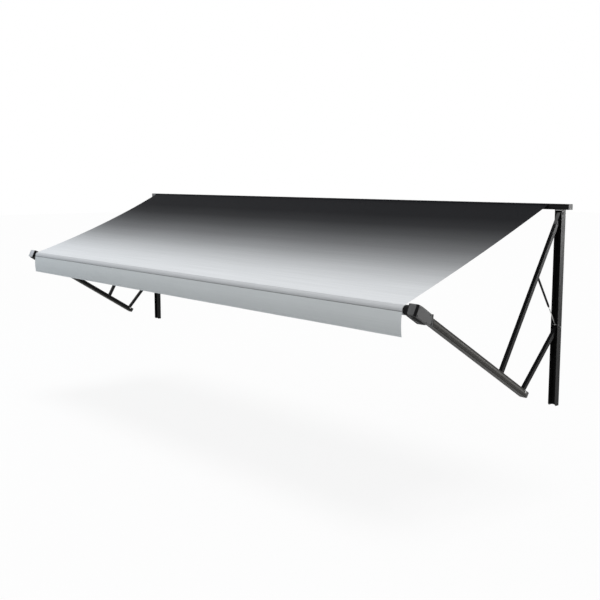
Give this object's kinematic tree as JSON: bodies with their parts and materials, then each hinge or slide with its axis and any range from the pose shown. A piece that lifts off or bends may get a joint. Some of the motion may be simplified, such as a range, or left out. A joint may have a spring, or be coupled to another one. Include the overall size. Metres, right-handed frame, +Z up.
{
  "type": "folding arm awning",
  "caption": "Wall-hung folding-arm awning with rail, two wall channels, scissor links, gas struts, head arms, motor roller, sloping canopy and straight valance.",
  "frame": {"origin": "middle of the rail's flat back face, on the wall", "axes": "+Y into the wall, +Z up, +X along the rail to the right as seen from outside"},
  "size_m": [6.5478, 1.8257, 1.7113],
  "materials": {
    "black_paint": "satin",
    "channel_paint": "satin",
    "arm_paint": "satin",
    "black_plastic": "satin",
    "grey_plastic": "satin",
    "steel": "satin",
    "canopy_canvas": "matte",
    "valance_canvas": "matte"
  },
  "bodies": {
    "wall_frame": {"rail": "black_paint", "rail_end_cap_left": "grey_plastic", "rail_end_cap_right": "grey_plastic", "wall_channel_right": "channel_paint", "upper_pivot_bolt_right": "steel", "lower_pivot_bolt_right": "steel", "strut_foot_pin_right": "steel", "wall_channel_left": "channel_paint", "upper_pivot_bolt_left": "steel", "lower_pivot_bolt_left": "steel", "strut_foot_pin_left": "steel", "canopy": "canopy_canvas"},
    "upper_link_right": {"upper_link_right": "black_paint", "strut_stud_right": "steel"},
    "slider_right": {"arm_slider_right": "black_plastic", "slider_pin_right": "steel"},
    "head_right": {"head_arm_right": "arm_paint", "arm_end_cap_right": "black_plastic", "foot_bolt_outer_right": "steel", "foot_bolt_inner_right": "steel", "head_bracket_right": "grey_plastic", "head_cover_outer_right": "black_plastic", "head_cover_inner_right": "black_plastic", "tube_motor": "grey_plastic"},
    "lower_link_right": {"lower_link_right": "black_paint"},
    "strut_rod_right": {"strut_rod_right": "steel"},
    "strut_cylinder_right": {"strut_cylinder_right": "black_paint"},
    "upper_link_left": {"upper_link_left": "black_paint", "strut_stud_left": "steel"},
    "slider_left": {"arm_slider_left": "black_plastic", "slider_pin_left": "steel"},
    "head_left": {"head_arm_left": "arm_paint", "arm_end_cap_left": "black_plastic", "foot_bolt_outer_left": "steel", "foot_bolt_inner_left": "steel", "head_bracket_left": "grey_plastic", "head_cover_outer_left": "black_plastic", "head_cover_inner_left": "black_plastic", "idler_spindle": "steel"},
    "lower_link_left": {"lower_link_left": "black_paint"},
    "strut_rod_left": {"strut_rod_left": "steel"},
    "strut_cylinder_left": {"strut_cylinder_left": "black_paint"},
    "roller": {"roller_tube": "channel_paint", "fabric_roll": "canopy_canvas", "roller_plug_right": "black_plastic", "roller_plug_left": "black_plastic", "motor_crown": "steel", "valance": "valance_canvas"}
  },
  "joints": [
    {"name": "fold", "type": "hinge", "parent": "wall_frame", "child": "upper_link_right", "pos_m": [3.2005, -0.033, -0.054], "axis": [1, 0, 0], "range_deg": [0, 25.89], "deforming": ["canopy", "valance"]},
    {"name": "slider_pivot_right", "type": "hinge", "parent": "upper_link_right", "child": "slider_right", "pos_m": [3.2005, -0.77657, -1.33196], "axis": [1, 0, 0], "range_deg": [-84.11, 0]},
    {"name": "arm_slide_right", "type": "slide", "parent": "slider_right", "child": "head_right", "axis": [0, -0.8499, 0.527], "range_m": [0, 0.2043]},
    {"name": "lower_link_right", "type": "hinge", "parent": "wall_frame", "child": "lower_link_right", "pos_m": [3.2005, -0.024, -1.01], "axis": [1, 0, 0], "range_deg": [0, 33.91]},
    {"name": "strut_tilt_right", "type": "hinge", "parent": "wall_frame", "child": "strut_rod_right", "pos_m": [3.2005, -0.042, -0.99], "axis": [1, 0, 0], "range_deg": [-27.39, 0]},
    {"name": "strut_stroke_right", "type": "slide", "parent": "strut_rod_right", "child": "strut_cylinder_right", "axis": [0, 0.5365, -0.8439], "range_m": [0, 0.1553]},
    {"name": "upper_link_left", "type": "hinge", "parent": "wall_frame", "child": "upper_link_left", "pos_m": [-3.2005, -0.033, -0.054], "axis": [1, 0, 0], "range_deg": [0, 25.91]},
    {"name": "slider_pivot_left", "type": "hinge", "parent": "upper_link_left", "child": "slider_left", "pos_m": [-3.2005, -0.77657, -1.33196], "axis": [1, 0, 0], "range_deg": [-84.11, 0]},
    {"name": "arm_slide_left", "type": "slide", "parent": "slider_left", "child": "head_left", "axis": [0, -0.8499, 0.527], "range_m": [0, 0.2043]},
    {"name": "lower_link_left", "type": "hinge", "parent": "wall_frame", "child": "lower_link_left", "pos_m": [-3.2005, -0.024, -1.01], "axis": [1, 0, 0], "range_deg": [0, 33.91]},
    {"name": "strut_tilt_left", "type": "hinge", "parent": "wall_frame", "child": "strut_rod_left", "pos_m": [-3.2005, -0.042, -0.99], "axis": [1, 0, 0], "range_deg": [-27.39, 0]},
    {"name": "strut_stroke_left", "type": "slide", "parent": "strut_rod_left", "child": "strut_cylinder_left", "axis": [0, 0.5365, -0.8439], "range_m": [0, 0.1553]},
    {"name": "roller_turn", "type": "hinge", "parent": "head_right", "child": "roller", "pos_m": [0, -1.76, -0.7175], "axis": [1, 0, 0], "range_deg": [0, 2579.2]}
  ],
  "couplings": [
    {"joint": "slider_pivot_right", "follows": "fold", "ratio": -3.2482},
    {"joint": "arm_slide_right", "follows": "fold", "m_per_rad": 0.45169},
    {"joint": "lower_link_right", "follows": "fold", "ratio": 1.3089},
    {"joint": "strut_tilt_right", "follows": "fold", "ratio": -1.0574},
    {"joint": "strut_stroke_right", "follows": "fold", "m_per_rad": 0.34331},
    {"joint": "upper_link_left", "follows": "fold", "ratio": 1},
    {"joint": "slider_pivot_left", "follows": "fold", "ratio": -3.2482},
    {"joint": "arm_slide_left", "follows": "fold", "m_per_rad": 0.45169},
    {"joint": "lower_link_left", "follows": "fold", "ratio": 1.3089},
    {"joint": "strut_tilt_left", "follows": "fold", "ratio": -1.0574},
    {"joint": "strut_stroke_left", "follows": "fold", "m_per_rad": 0.34331},
    {"joint": "roller_turn", "follows": "fold", "ratio": 99.593}
  ]
}
